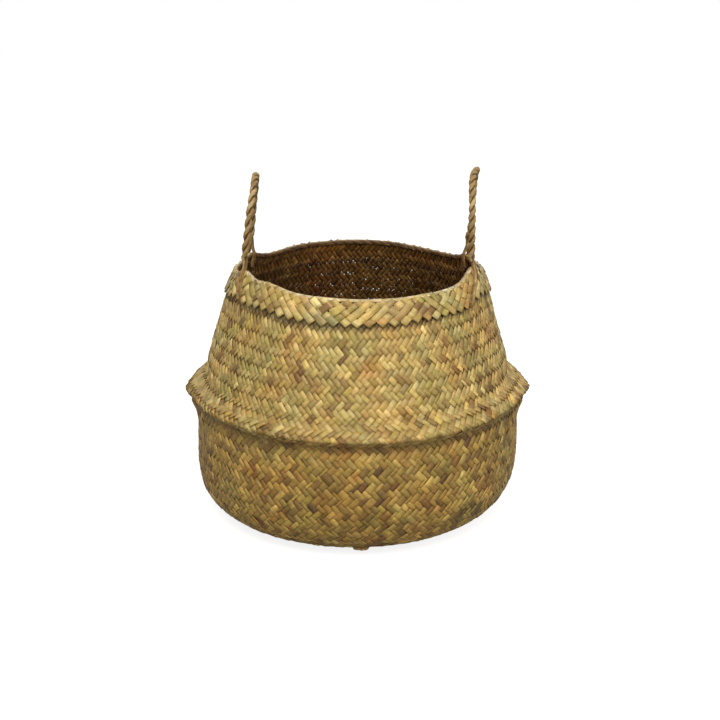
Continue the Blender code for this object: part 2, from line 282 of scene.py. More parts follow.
# Reach out from the band's outer side and height of each point along a ply's end: the outer one
# goes in under the band's foot. The inner one goes in through the band at the front, and runs
# down inside the wall at the rear
OUTER_TAIL = (
    (-0.0010, 0.2275), (0.0016, 0.2300), (0.0026, 0.2345), (0.0027, 0.2400),
    (0.0028, 0.2450), (0.0028, 0.2500), (0.0020, 0.2545),
)
INNER_TAIL = (
    (-0.0075, 0.2395), (-0.0055, 0.2410), (-0.0015, 0.2425), (0.0022, 0.2440),
    (0.0028, 0.2470), (0.0028, 0.2510), (0.0020, 0.2545),
)
REAR_INNER_TAIL = (
    (-0.0075, 0.2395), (-0.0062, 0.2440), (-0.0056, 0.2480), (-0.0046, 0.2515),
    (-0.0016, 0.2555),
)
TAIL_RADIUS = 0.0016
# Half the angle between the two plies where they run side by side over the front of the rim
TAIL_APART = 0.0085

# The knots inside the wall: (radius, height) of their middle, and (across, up) of their cut end
KNOT_PLACE = (0.1200, 0.2387)
KNOT_SIZE = 0.00095
KNOT_DEPTH = 1.3
KNOT_POINTS = 80
KNOT_PLY = 0.0012
KNOT_TWIST = -300.0
KNOT_END = ((0.0, -0.004), (0.0003, -0.0085), (0.0008, -0.012))
# The knot under the front of the bottom: a row of loops, with half their size across, to the
# front and up, the number of the loop that would lie in the knot's middle, and in half turns
# how long a loop is. It starts anywhere up to BASE_LOOP_START, in radians
BASE_KNOT_PLACE = (0.0014, -0.1334, 0.0088)
BASE_LOOPS = 6
BASE_LOOP_SIZE = (0.0026, 0.0022, 0.0011)
BASE_LOOP_STEP = 0.0016
BASE_LOOP_MIDDLE = 2.2
BASE_LOOP_TURNS = (1.2, 2.0)
BASE_LOOP_START = 6
BASE_LOOP_POINTS = 24
BASE_LOOP_PLAY = 0.0008
BASE_LOOP_RISE = 0.0004
BASE_LOOP_TILT = 0.7
BASE_KNOT_PLY = 0.0014
BASE_KNOT_TWIST = 200.0

# Where the random draws start
GRASS_SEEDS = {RIGHT: 11, LEFT: 12}
BAND_SEEDS = {RIGHT: 21, LEFT: 22}
SKIP_SEED = 31
FOLD_SEED = 41
PLY_SEED = 50
PLY_COLOUR_SEED = 60
BROWN_SEED = 61
WARM_SEED = 62
LIGHT_SEED = 63
BASE_KNOT_SEED = 71
BASE_LOOP_SEED = 80
KNOT_SEED = 90

# Lengths of the fibre noise: per row of the wall, and per metre of a ply. Each strip's stretch of
# it is shifted by this much against the one before. In the map that is baked, each strip's column
# has free edges, as shares of its width and length
FIBRES_PER_ROW = 0.7
FIBRES_PER_METRE = 160
STRIP_SHIFT = (1.37, 0.61)
COLUMN_MARGIN = 0.04
COLUMN_END_MARGIN = 0.01


def paint(red, green, blue):
    """A colour given as it looks on a screen, 0 to 255."""
    share = np.array([red, green, blue]) / 255
    return np.where(share <= 0.04045, share / 12.92, ((share + 0.055) / 1.055) ** 2.4)


# Colours of the strips: (part of them, colour)
NECK_GRASSES = [
    (0.42, paint(188, 159, 88)),
    (0.16, paint(212, 187, 116)),
    (0.16, paint(176, 151, 72)),
    (0.14, paint(184, 147, 80)),
    (0.07, paint(144, 109, 52)),
    (0.05, paint(112, 82, 38)),
]
BOWL_GRASSES = [
    (0.36, paint(174, 140, 65)),
    (0.14, paint(200, 168, 88)),
    (0.20, paint(162, 133, 57)),
    (0.14, paint(162, 122, 55)),
    (0.09, paint(120, 83, 37)),
    (0.07, paint(92, 64, 28)),
]
BAND_GRASSES = [
    (0.38, paint(186, 157, 86)),
    (0.20, paint(218, 195, 126)),
    (0.16, paint(170, 149, 70)),
    (0.14, paint(182, 143, 80)),
    (0.12, paint(134, 98, 46)),
]
FOLD_GRASSES = [
    (0.45, paint(206, 184, 130)),
    (0.30, paint(222, 204, 164)),
    (0.15, paint(186, 160, 98)),
    (0.10, paint(190, 156, 112)),
]
ROPE_GRASSES = [
    (0.5, paint(158, 128, 76)),
    (0.3, paint(142, 112, 60)),
    (0.2, paint(180, 152, 100)),
]
# Painted shade as tints of red, green and blue: on the wall's inner side, the rim's inner side,
# the undersides of the strips folded over the rim, and the plies of a rope where they lie
# against each other
INNER_SHADE_TINT = np.array([0.31, 0.20, 0.12])
FOLD_INNER_SHADE = INNER_SHADE_TINT * 0.8
FOLD_UNDERSIDE_SHADE = (0.5, 0.42, 0.34)
LAID_SHADE = np.array([0.42, 0.34, 0.24])
PLAIN = (1, 1, 1)
CUT_END_SHADE = 0.5
# Painted shade: the bowl's and the ridge's strips are darkened a little
BOWL_SHADE = 0.94
RIDGE_SHADE = 0.92
# Painted shade: the neck's end is dark where it shows between the band's strips, and its
# inner side has less painted shade than the rest of the inner side
BEHIND_BAND_SHADE = 0.35
LINING_LIGHTNESS = 1.5
TAIL_LIGHTNESS = 1.35
BASE_KNOT_LIGHTNESS = 1.3
# Painted shade in the crease under the fold's lip, and a painted shadow on the neck just under
# the band's foot. Widths in rows
CREASE_SHADE = 0.5
CREASE_OVER_LIP = 0.6
CREASE_WIDTH = 1.9
FOOT_PLACE = 0.2280
FOOT_SHADOW = 0.7
FOOT_WIDTH = 0.6
# How much more strongly red, green and blue darken in the painted shade of the wall
SHADE_BY_CHANNEL = (1, 1.15, 1.3)
# How much of a float's colour is its strip's, and how far the tones of both play
STRIP_SHARE = 0.35
STRIP_TONE = 0.07
FLOAT_TONE = 0.11
ROPE_TONE = 0.06
ROPE_SECTIONS_ALIKE = 6
# Soft patches on the plait: how their waves' lengths play, their size, what they do to red, green
# and blue, and where they start or end
PATCH_WAVES = 28
PATCH_PLAY = (0.6, 1.5)
BROWN_SIZE = 0.016
BROWN_TINT = (-0.28, -0.50, -0.70)
BROWN_START = 0.8
BROWN_REACH = 1.4
WARM_SIZE = 0.028
WARM_TINT = (0.035, -0.012, -0.04)
WARM_MOST = 1.6
LIGHT_SIZE = 0.012
LIGHT_TINT = (0.10, 0.10, 0.12)

# Noise along the strips (stretch, detail, roughness), and how it turns into tone: a range of the
# noise and the range of tones that it becomes
FIBRES = ((13.0, 0.8, 1.0), 4.0, 0.7)
BLOTCHES = ((2.5, 0.8, 1.0), 3.0, 0.6)
FLECKS = ((9.0, 3.5, 1.0), 2.0, 0.5)
FIBRE_TONES = (0.25, 0.75, 0.62, 1.34)
BLOTCH_TONES = (0.3, 0.7, 0.82, 1.14)
FLECK_TONES = (0.62, 0.74, 1.0, 0.72)
# A finish's roughness plays between these two around its own, over this range of the fibres
SMOOTHEST = -0.10
ROUGHEST = 0.14
SHEEN_FIBRES = (0.3, 0.7)
GRAIN_DEPTH = 0.00012
GRAIN_STRENGTH = 0.6
BLOTCH_GRAIN = 0.5
PLAIT_ROUGHNESS = 0.52
RIM_ROUGHNESS = 0.48
ROPE_ROUGHNESS = 0.6

# The floor's colour as the basket sees it, and what makes it white where the camera sees it
FLOOR_SHADE = (0.46, 0.45, 0.42, 1)
FLOOR_WHITE = (0.45, 0.45, 0.45, 1)
FLOOR_GLOW = (0.84, 0.84, 0.84, 1)
FLOOR_HALF = 6.0
BLACK = (0, 0, 0, 1)
WHITE = (1, 1, 1, 1)
WORLD_LIGHT = 0.44
LAMP_AIM = (0, 0, 0.12)
LAMPS = {
    "key": {"place": (-0.05, -1.25, 1.7), "size": 1.0, "power": 26.4},
    "fill": {"place": (1.2, -0.8, 0.9), "size": 1.2, "power": 3.8},
}
# The photograph's view: from the front, 18.7 degrees down
CAMERA_PLACE = (0.0012, -1.1398, 0.5373)
CAMERA_DOWN = 18.718
CAMERA_LENS = 59.03
CAMERA_SENSOR = 36.0


# Shader maths on sockets


class Value:
    """A socket that Python's operators can work on; each one adds its Math node."""

    def __init__(self, nodes, socket):
        self.nodes = nodes
        self.socket = socket

    def _with(self, operation, *others):
        inputs = {number: other for number, other in enumerate(others)}
        return self.nodes.node("ShaderNodeMath", {"operation": operation}, inputs)

    def __add__(self, other):
        return self._with("ADD", self, other)

    def __radd__(self, other):
        return self._with("ADD", other, self)

    def __mul__(self, other):
        return self._with("MULTIPLY", self, other)

    def __rmul__(self, other):
        return self._with("MULTIPLY", other, self)

    def larger(self, other):
        """The larger one of two values."""
        return self._with("MAXIMUM", self, other)


class Nodes:
    """The nodes of a material or of the world."""

    def __init__(self, tree):
        self.tree = tree

    def node(self, kind, settings=None, inputs=None, output=0):
        """Add a node, apply its settings, then fill its sockets with numbers or links."""
        made = self.tree.nodes.new(kind)
        for key, setting in (settings or {}).items():
            setattr(made, key, setting)
        for key, given in (inputs or {}).items():
            self.feed(made.inputs[key], given)
        return Value(self, made.outputs[output]) if made.outputs else None

    def feed(self, socket, given):
        if isinstance(given, Value):
            self.tree.links.new(given.socket, socket)
        else:
            socket.default_value = given

    def mix(self, share, first, second, blend="MIX"):
        """Mix two colours."""
        settings = {"data_type": "RGBA", "blend_type": blend, "clamp_factor": True}
        return self.node("ShaderNodeMix", settings, {0: share, 6: first, 7: second}, 2)

    def range(self, value, low, high, to_low, to_high):
        """Turn one range of values into another."""
        inputs = {0: value, 1: low, 2: high, 3: to_low, 4: to_high}
        return self.node("ShaderNodeMapRange", {"clamp": True}, inputs)

    def noise(self, place, stretch, detail, roughness):
        """Noise that is finer or longer in each direction by its stretch."""
        stretched = self.node("ShaderNodeMapping", None, {"Vector": place, "Scale": stretch})
        inputs = {"Vector": stretched, "Scale": 1.0, "Detail": detail, "Roughness": roughness}
        return self.node("ShaderNodeTexNoise", None, inputs)

    def bump(self, height, distance, strength):
        inputs = {"Height": height, "Distance": distance, "Strength": strength}
        return self.node("ShaderNodeBump", None, inputs)


class Finish(Nodes):
    """One material under construction."""

    def __init__(self, name):
        self.material = bpy.data.materials.new(name)
        self.material.use_nodes = True
        super().__init__(self.material.node_tree)
        self.shader = self.tree.nodes["Principled BSDF"]

    def set(self, **sockets):
        """Fill sockets of the shader, with an underscore for each space in their names."""
        for key, given in sockets.items():
            self.feed(self.shader.inputs[key.replace("_", " ")], given)
        return self.material


# Lines


def distances(points):
    """The distance along a line of points to each of them."""
    steps = np.linalg.norm(np.diff(points, axis=0), axis=1)
    return np.concatenate([[0], np.cumsum(steps)])


def evenly(points, spacing):
    """The same flat line with its points spread evenly."""
    along = distances(points)
    target = np.linspace(0, along[-1], int(along[-1] / spacing) + 1)
    return np.stack([np.interp(target, along, points[:, axis]) for axis in (0, 1)], 1)


def resampled(points, spacing):
    """A line in space with points spread evenly, and the distance along it to each.

    The first three columns are places, and any others go along with them."""
    along = distances(points[:, :3])
    target = np.linspace(0, along[-1], int(along[-1] / spacing) + 2)
    return np.stack([np.interp(target, along, column) for column in points.T], 1), target


def softened(points, passes):
    """Round the corners of a line a little, with its ends kept."""
    points = points.copy()
    for _ in range(passes):
        points[1:-1] = (points[:-2] + 2 * points[1:-1] + points[2:]) / 4
    return points


def tangents(line):
    """The direction of a line at each of its points."""
    tangent = np.gradient(line, axis=0)
    return tangent / np.linalg.norm(tangent, axis=1)[:, None]


def facing(points):
    """The outward normal at each point of a flat line that runs from the bottom to the rim."""
    tangent = tangents(points)
    return np.stack([tangent[:, 1], -tangent[:, 0]], 1)


def middles(values):
    """Halfway between each value and the next."""
    return (values[:-1] + values[1:]) / 2


def smooth(share):
    """A share from 0 to 1, eased at both ends."""
    share = np.clip(share, 0, 1)
    return share * share * (3 - 2 * share)


def bell(distance, width):
    """1 at no distance, and less with distance on both sides."""
    return np.exp(-((distance / width) ** 2))


class Line:
    """A line of (radius, height) points, read by the distance along it."""

    def __init__(self, points):
        self.line = evenly(points, LINE_STEP)
        self.normal = facing(self.line)
        self.along = distances(self.line)

    def at(self, distance):
        """Radius, height and outward normal at each distance."""
        parts = [self.line[:, 0], self.line[:, 1], self.normal[:, 0], self.normal[:, 1]]
        return [np.interp(distance, self.along, part) for part in parts]


# The wall's line from the middle of the bottom to the rim


def bulged_run(low, high, bulge, steps=24):
    """Points after the first one of a stretch that bulges out in its middle."""
    share = np.linspace(0, 1, steps + 1)[1:]
    radius = low[0] + (high[0] - low[0]) * share + bulge * np.sin(np.pi * share)
    height = low[1] + (high[1] - low[1]) * share
    return np.stack([radius, height], 1)


def outer_line():
    """(radius, height) along the wall's outer side."""
    flat = np.stack([np.linspace(0, BASE_RADIUS, CORNER_POINTS), np.zeros(CORNER_POINTS)], 1)
    turn = np.linspace(0, np.pi / 2, CORNER_POINTS)[1:]
    reach = BOWL_RADIUS - BASE_RADIUS
    corner = np.stack([BASE_RADIUS + reach * np.sin(turn), CORNER_RISE * (1 - np.cos(turn))], 1)
    bowl = bulged_run((BOWL_RADIUS, CORNER_RISE), BOWL_TOP, BOWL_BULGE)
    turn = np.radians(np.linspace(*LIP_TURNS, LIP_POINTS))
    centre = RIDGE_RADIUS - LIP_RADIUS
    lip = np.stack([centre + LIP_RADIUS * np.cos(turn), RIDGE_HEIGHT + LIP_RADIUS * np.sin(turn)], 1)
    under = bulged_run(BOWL_TOP, lip[0], 0.0)[:-1]
    over = bulged_run(lip[-1], NECK_FOOT, 0.0)
    neck = bulged_run(NECK_FOOT, BAND_FOOT, NECK_BULGE)
    band = bulged_run(BAND_FOOT, RIM, 0.0)
    return np.concatenate([flat, corner, bowl, under, lip, over, neck, band])


class Wall(Line):
    """The middle of the plaited wall, from the middle of the bottom to the rim."""

    def __init__(self, outside, inset):
        line = evenly(outside, LINE_STEP)
        super().__init__(softened(line - facing(line) * inset, LINE_SOFTENING))

    def rows(self, height):
        """The row at which the upper wall passes a height."""
        rising = self.along > self.along[-1] / 3
        distance = np.interp(height, self.line[rising, 1], self.along[rising])
        return (distance - MAT_REACH) / WALL_ROW + MAT_ROWS


WALL = Wall(outer_line(), HALF_WALL)
RIDGE_ROW = WALL.rows(RIDGE_HEIGHT)
# Pieces of the wall meet halfway between two rows
LIP_ROW = math.floor(WALL.rows(BOWL_TOP[1])) + 0.5
NECK_ROW = math.floor(WALL.rows(NECK_FOOT[1])) + 0.5
BAND_ROW_OF_WALL = math.floor(WALL.rows(BAND_FOOT[1])) + 0.5
TOP_ROW = float(WALL.rows(RIM[1] - EDGE_HEIGHT))
FOOT_ROW = float(WALL.rows(FOOT_PLACE))


# From the round and level shape to the soft basket


def rim_lift(angle):
    """How far the rim's edge rises over its level at this angle."""
    total = 0
    for place, lift, width in RIM_LIFTS:
        turn = (np.degrees(angle) - place + 180) % 360 - 180
        total = total + lift * bell(turn, width)
    return total


def settled(radius, angle, height):
    """Points of the round and level shape, moved to where they lie in the soft basket."""
    side, front = np.abs(np.cos(angle)), np.abs(np.sin(angle))
    power = np.interp(height, *zip(*PLAN_POWERS))
    power = power + PLAN_FRONT * front**2 * (2 - power) / (2 - PLAN_POWERS[-1][1])
    place = np.where(np.cos(angle) < 0, NOSE_PLACES[LEFT], NOSE_PLACES[RIGHT])
    beside = np.hypot(np.arctan2(np.sin(angle), side) - place, NOSE_ROUNDNESS)
    nose = NOSE * np.exp(-beside / NOSE_WIDTH) * np.interp(height, *zip(*NOSE_HEIGHTS))
    tuck = FOLD_TUCK * bell(height - TUCK_HEIGHT, TUCK_REACH)
    wider = np.interp(height, *zip(*WIDENING)) * np.clip(radius / BASE_RADIUS, 0, 1)
    radius = radius * (side**power + front**power) ** (-1 / power) + nose - tuck + wider
    raised = rim_lift(angle) * np.clip((height - LIFT_FOOT) / (RIM[1] - LIFT_FOOT), 0, None)
    lower = RIM_DROP * smooth((height - NECK_FOOT[1]) / (BAND_FOOT[1] - NECK_FOOT[1]))
    x = radius * np.cos(angle) + np.interp(height, *zip(*LEANING))
    y = radius * np.sin(angle) * np.interp(height, *zip(*DEPTHS))
    return np.stack([x, y, height - lower + raised], -1)


# Meshes


def to_mesh(name, points, quads, colours, smooth_faces, maps):
    """A mesh object of quads: a colour and a shading for each face, and sets of map coordinates."""
    mesh = bpy.data.meshes.new(name)
    mesh.vertices.add(len(points))
    mesh.vertices.foreach_set("co", np.ascontiguousarray(points, np.float32).ravel())
    mesh.loops.add(len(quads) * 4)
    mesh.loops.foreach_set("vertex_index", np.ascontiguousarray(quads, np.int32).ravel())
    mesh.polygons.add(len(quads))
    mesh.polygons.foreach_set("loop_start", np.arange(0, len(quads) * 4, 4, dtype=np.int32))
    mesh.update(calc_edges=True)
    opaque = np.concatenate([colours, np.ones((len(colours), 1))], 1)
    grass = mesh.attributes.new("grass", "FLOAT_COLOR", "FACE")
    grass.data.foreach_set("color", opaque.astype(np.float32).ravel())
    for label, places in maps.items():
        layer = mesh.uv_layers.new(name=label)
        layer.data.foreach_set("uv", places.astype(np.float32).ravel())
    mesh.polygons.foreach_set("use_smooth", smooth_faces)
    item = bpy.data.objects.new(name, mesh)
    bpy.context.scene.collection.objects.link(item)
    return item


def tube_quads(sections, around, start):
    """Quads along a run of sections, and across its two ends."""
    section = np.arange(sections - 1)[:, None]
    step = np.arange(around)[None, :]
    after = (step + 1) % around
    here, there = start + section * around, start + (section + 1) * around
    sides = np.stack([here + step, here + after, there + after, there + step], 2).reshape(-1, 4)
    pair = np.arange((around - 2) // 2)
    end = np.stack([pair, around - 1 - pair, around - 2 - pair, pair + 1], 1)
    last = start + (sections - 1) * around
    return np.concatenate([sides, start + end, last + end[:, ::-1]])


def tube_map(along, around, end_quads):
    """Map coordinates of the corners of those quads: the share round and the distance along."""
    share = np.arange(around + 1) / around
    sides = np.zeros((len(along) - 1, around, 4, 2))
    sides[..., 0] = np.stack([share[:-1], share[1:], share[1:], share[:-1]], 1)
    sides[:, :, :2, 1] = along[:-1, None, None]
    sides[:, :, 2:, 1] = along[1:, None, None]
    ends = np.full((2, end_quads, 4, 2), 0.5)
    ends[..., 1] = along[[0, -1], None, None]
    return np.concatenate([sides.reshape(-1, 4, 2), ends.reshape(-1, 4, 2)])


class Bundle:
    """Strips that are gathered into one mesh, with their colours and map coordinates."""

    def __init__(self):
        self.points, self.quads, self.colours, self.maps, self.smooth = [], [], [], [], []
        self.count = 0

    def add(self, sections, colours, along, inner_shade=INNER_SHADE_TINT):
        """One strip: sections x around x 3 points, and a colour for each length between sections.

        The inner shade is painted shade on its inner half's faces, or else one for each face."""
        count, around = sections.shape[:2]
        self.quads.append(tube_quads(count, around, self.count))
        self.points.append(sections.reshape(-1, 3))
        self.count += count * around
        face_shade = np.ones((around, 3))
        if np.ndim(inner_shade) > 1:
            face_shade = inner_shade
        else:
            face_shade[around // 2:] = inner_shade
        side = (colours[:, None, :] * face_shade).reshape(-1, 3)
        end_quads = (around - 2) // 2
        ends = np.repeat(colours[[0, -1]], end_quads, 0) * CUT_END_SHADE
        self.colours.append(np.concatenate([side, ends]))
        smooth_sides = SMOOTH_SIDES if around == AROUND else (True,) * around
        self.smooth.append(np.array(smooth_sides * (count - 1) + (False,) * 2 * end_quads))
        self.maps.append(tube_map(along, around, end_quads))

    def bake_map(self):
        """Each strip as an upright column of one square."""
        columns = []
        for number, corners in enumerate(self.maps):
            low, high = corners[..., 1].min(), corners[..., 1].max()
            across = COLUMN_MARGIN + (1 - 2 * COLUMN_MARGIN) * corners[..., 0]
            up = (corners[..., 1] - low) / (high - low)
            up = COLUMN_END_MARGIN + (1 - 2 * COLUMN_END_MARGIN) * up
            columns.append(np.stack([(number + across) / len(self.maps), up], 2))
        return np.concatenate(columns).reshape(-1, 2)

    def strip_map(self):
        """Places across and along each strip, so far apart that no two strips look alike."""
        shift = np.array(STRIP_SHIFT)
        moved = [corners + number * shift for number, corners in enumerate(self.maps)]
        return np.concatenate(moved).reshape(-1, 2)

    def piece(self, name):
        """All the strips as one mesh object."""
        points, quads = np.concatenate(self.points), np.concatenate(self.quads)
        colours, smooth_faces = np.concatenate(self.colours), np.concatenate(self.smooth)
        maps = {"strip": self.strip_map(), "OFBake": self.bake_map()}
        return to_mesh(name, points, quads, colours, smooth_faces, maps)


# The plait


def level_bands(crossings):
    """Over for two crossings and under for two, in level bands round the basket."""
    return np.where(np.mod(crossings, REPEAT) < REPEAT / 2, 1.0, -1.0)


def dive(signs, first, rows):
    """Height share at each row, from 1 outside to -1 inside, through the signs at whole rows."""
    below = np.clip(np.floor(rows).astype(int) - first, 0, len(signs) - 2)
    share = smooth((rows - first - below - 0.5) * DIVE_STEEPNESS + 0.5)
    return signs[below] + (signs[below + 1] - signs[below]) * share


def groove(rows, angle, elsewhere):
    """1 in the middle of a groove at the wall's sides, another share elsewhere, 0 between grooves.

    The left half's grooves lie two rows over the right half's, as its plait mirrors the right one."""
    side = np.cos(angle)
    half = REPEAT / 2
    place = np.mod(rows - GROOVE_ROW - half * (side < 0) + half, REPEAT) - half
    deep = elsewhere + (1 - elsewhere) * smooth((np.abs(side) - SIDE_START) / SIDE_REACH)
    grown = GROOVES_OF_BOWL + (1 - GROOVES_OF_BOWL) * smooth((rows - LIP_ROW) / LIP_FADE)
    return bell(place, GROOVE_WIDTH) * smooth((rows - BOTTOM_ROWS) / BOTTOM_FADE) * deep * grown


def pinched(level, grooves=0):
    """Places across each section: a strip is narrower where it dives."""
    pinch = (PINCH + (GROOVE_PINCH - PINCH) * grooves) * (1 - level**2)
    return SECTION[:, 0] * HALF_WIDTH * (1 - pinch)[:, None]


def row_samples(signs, first, low, high, bend=None):
    """Rows at which a strip is cut into sections: close together where it dives or bends."""
    rows = []
    for place in range(len(signs) - 1):
        bends = bend is not None and abs(first + place - bend) < LIP_ROWS
        close = bends or signs[place] != signs[place + 1]
        parts = SECTION_PARTS if close else SECTION_PARTS[:1]
        rows += [first + place + part for part in parts]
    inside = [row for row in rows if low + END_CLEARANCE < row < high - END_CLEARANCE]
    return np.array([low, *inside, high])


def shifted_index(table, index):
    """A place between strips, moved as the uneven widths of the strips move it."""
    return index + np.interp(index, np.arange(len(table)), table, period=len(table))


def run_of(rows):
    """Number of the float that each row belongs to."""
    return np.clip((np.floor(rows + 0.5) // 2).astype(int), 0, RUNS - 1)


class Grass:
    """The strips of one lean: how wide each is, where it wanders, and its colours."""

    def __init__(self, seed, strips, unevenness, pinned=()):
        draw = np.random.default_rng(seed)
        self.spread = np.clip(draw.normal(0, unevenness, strips), -MOST_UNEVEN, MOST_UNEVEN)
        self.spread[list(pinned)] = 0
        self.phase = draw.uniform(0, 2 * np.pi, (strips, len(WANDER)))
        self.tilt = draw.normal(0, STRIP_TILT, (strips, RUNS))
        self.raised = draw.normal(0, STRIP_RAISE, (strips, RUNS))
        self.pick = draw.uniform(0, 1, (strips, RUNS))
        self.tone = draw.normal(0, 1, (strips, RUNS))
        self.own_pick = draw.uniform(0, 1, strips)
        self.own_tone = draw.normal(0, 1, strips)
        gaps, holes = draw.uniform(0, 1, (strips, RUNS)), draw.uniform(0, 1, (strips, RUNS))
        self.gaps = np.where(gaps < GAP_CHANCE, GAP_PINCH, 0)
        self.holes = np.where(holes < HOLE_CHANCE, OPEN_AT_REAR, NARROW_AT_REAR)

    def wander(self, strip, row):
        """How far a strip lies beside its straight way at each row."""
        waves = zip(WANDER, self.phase[strip])
        return sum(reach * np.sin(row * often + phase) for (reach, often), phase in waves)

    def quarter_spread(self, quadrant):
        """Shifts at the edges of one quarter's strips."""
        return np.append(self.spread, self.spread[0])[quadrant * MAT_ROWS:][: MAT_ROWS + 1]

    def rise(self, strip, run, level):
        """Height of each point of each section over the wall's middle."""
        rise = (WEAVE_RISE * level + self.raised[strip, run])[:, None]
        rise = rise + SECTION[:, 0] * self.tilt[strip, run][:, None]
        return rise + SECTION[:, 1] * STRIP_THICKNESS / 2 + SECTION[:, 2] * STRIP_CROWN


def wall_grasses():
    """Both leans of the wall. A strip of one lean crosses the bottom and rises in the other."""
    edges = [quarter * MAT_ROWS for quarter in range(4)]
    right, left = [
        Grass(GRASS_SEEDS[side], STRIPS, UNEVENNESS, edges) for side in (RIGHT, LEFT)
    ]
    left.spread = np.roll(right.spread, -MAT_ROWS)
    left.own_pick, left.own_tone = right.own_pick, right.own_tone
    return {RIGHT: right, LEFT: left}


GRASS_OF = wall_grasses()


def wall_angle(quadrant, lean, along, across, row):
    """Angle round the basket of a place in one quarter of the plait."""
    share = lean * 0.5 * (along - across) / np.minimum(row, MAT_ROWS)
    return (quadrant + 0.5 + share) * np.pi / 2


def wall_strip(lean, quadrant, number, low, high):
    """Sections of one strip of the wall: it starts at the edge of its quarter of the bottom."""
    grass, other = GRASS_OF[lean], GRASS_OF[-lean]
    strip = quadrant * MAT_ROWS + number
    index = number + 0.5
    first = int(math.floor(low)) - 1
    signs = lean * level_bands(np.arange(first, int(high) + 3))
    rows = row_samples(signs, first, low, high, RIDGE_ROW)
    run = run_of(rows)
    along = rows - index
    level = dive(signs, first, rows) * smooth(along / START_ROWS)
    middle = wall_angle(quadrant, lean, along, index, rows)
    grooves = groove(rows, middle, GROOVE_AT_FRONT)
    at_rear = np.where(np.sin(middle) > 0, grass.holes[strip, run], GROOVE_AT_FRONT)
    opened = np.maximum(groove(rows, middle, at_rear), grass.gaps[strip, run])
    wander = grass.wander(strip, rows) * smooth(along / WANDER_START)
    across = index + wander[:, None] + pinched(level, opened)
    across = across + np.interp(across, np.arange(MAT_ROWS + 1), grass.quarter_spread(quadrant))
    crossed = (quadrant + lean * (along // MAT_ROWS)) * MAT_ROWS + np.mod(along, MAT_ROWS)
    crossed = np.mod(crossed, STRIPS)
    along = (along + shifted_index(other.spread, crossed) - crossed)[:, None]
    row = np.maximum(across + along, FIRST_ROW)
    angle = wall_angle(quadrant, lean, along, across, row)
    distance = np.minimum(row, MAT_ROWS) * MAT_ROW + np.maximum(row - MAT_ROWS, 0) * WALL_ROW
    radius, height, out, up = WALL.at(distance)
    rise = grass.rise(strip, run, level) - GROOVE_DEPTH * grooves[:, None]
    sharp = bell(height - RIDGE_HEIGHT, LIP_REACH)
    rise = np.where(rise < 0, rise * (1 - LIP_FLATNESS * sharp), rise)
    return rows, settled(radius + out * rise, angle, height + up * rise)


# Colours of the strips


def picked(grasses, share):
    """The grass colour at a share from 0 to 1 of a list of (part, colour)."""
    edges = np.cumsum([part for part, _ in grasses])
    colours = np.array([colour for _, colour in grasses])
    return colours[np.minimum(np.searchsorted(edges / edges[-1], share), len(grasses) - 1)]


class Patches:
    """Soft patches through space, as a sum of waves: about -1 to 1, with this size in metres."""

    def __init__(self, seed, size):
        draw = np.random.default_rng(seed)
        towards = draw.normal(0, 1, (PATCH_WAVES, 3))
        towards /= np.linalg.norm(towards, axis=1)[:, None]
        self.waves = towards * draw.uniform(*PATCH_PLAY, (PATCH_WAVES, 1)) * np.pi / size
        self.phase = draw.uniform(0, 2 * np.pi, PATCH_WAVES)

    def at(self, places):
        total = np.sin(places @ self.waves.T + self.phase).sum(axis=-1)
        return (total / math.sqrt(PATCH_WAVES / 2))[:, None]


BROWN_PATCHES = Patches(BROWN_SEED, BROWN_SIZE)
WARM_PATCHES = Patches(WARM_SEED, WARM_SIZE)
LIGHT_PATCHES = Patches(LIGHT_SEED, LIGHT_SIZE)


def strip_colours(grass, strip, runs, grasses):
    """One colour for each run of a strip: partly the strip's own and partly the run's."""
    own = picked(grasses, grass.own_pick[strip])
    each = picked(grasses, grass.pick[strip, runs])
    tone = STRIP_TONE * grass.own_tone[strip] + FLOAT_TONE * grass.tone[strip, runs]
    return (own * STRIP_SHARE + each * (1 - STRIP_SHARE)) * np.exp(tone)[..., None]


def patched(colours, places):
    """Colours with the warm, the light and the brown patches at their places."""
    warm = np.clip(WARM_PATCHES.at(places), -WARM_MOST, WARM_MOST)
    brown = smooth((BROWN_PATCHES.at(places) - BROWN_START) / BROWN_REACH)
    light = LIGHT_PATCHES.at(places)
    return colours * np.exp(warm * WARM_TINT + light * LIGHT_TINT + brown * BROWN_TINT)


def shaded(colours, rows, angle, foot_shadow):
    """Colours with painted shade in grooves and crease and a painted shadow under the band's foot."""
    dark = groove(rows, angle, GROOVE_AT_FRONT) * GROOVE_SHADE
    dark = dark + foot_shadow * bell(rows - FOOT_ROW, FOOT_WIDTH)
    dark = dark + CREASE_SHADE * bell(rows - LIP_ROW - CREASE_OVER_LIP, CREASE_WIDTH)
    return colours * np.exp(-dark[:, None] * SHADE_BY_CHANNEL)


# The plaited wall


def wall_starts(leans, first_row, last_row):
    """Lean, quarter, number and first row of each strip that lies between two rows."""
    for lean in leans:
        for quadrant in range(4):
            for number in range(MAT_ROWS):
                low = max(first_row, number + 0.5)
                if low < last_row:
                    yield lean, quadrant, number, low


def plaited_wall(name, leans, ends, grasses, shade=1.0, inner_shade=INNER_SHADE_TINT, foot_shadow=0.0):
    """All the strips of these leans between two rows of the wall, as one piece."""
    bundle = Bundle()
    for lean, quadrant, number, low in wall_starts(leans, *ends):
        rows, sections = wall_strip(lean, quadrant, number, low, ends[1])
        same = (quadrant + (lean < 0)) % 4 * MAT_ROWS + number
        middle = middles(rows)
        places = middles(sections.mean(axis=1))
        colours = strip_colours(GRASS_OF[lean], same, run_of(middle), grasses)
        angle = np.arctan2(places[:, 1], places[:, 0])
        colours = shaded(patched(colours, places) * shade, middle, angle, foot_shadow)
        bundle.add(sections, colours, rows * FIBRES_PER_ROW, inner_shade)
    return bundle.piece(name)


# The band of wider strips folded down round the rim


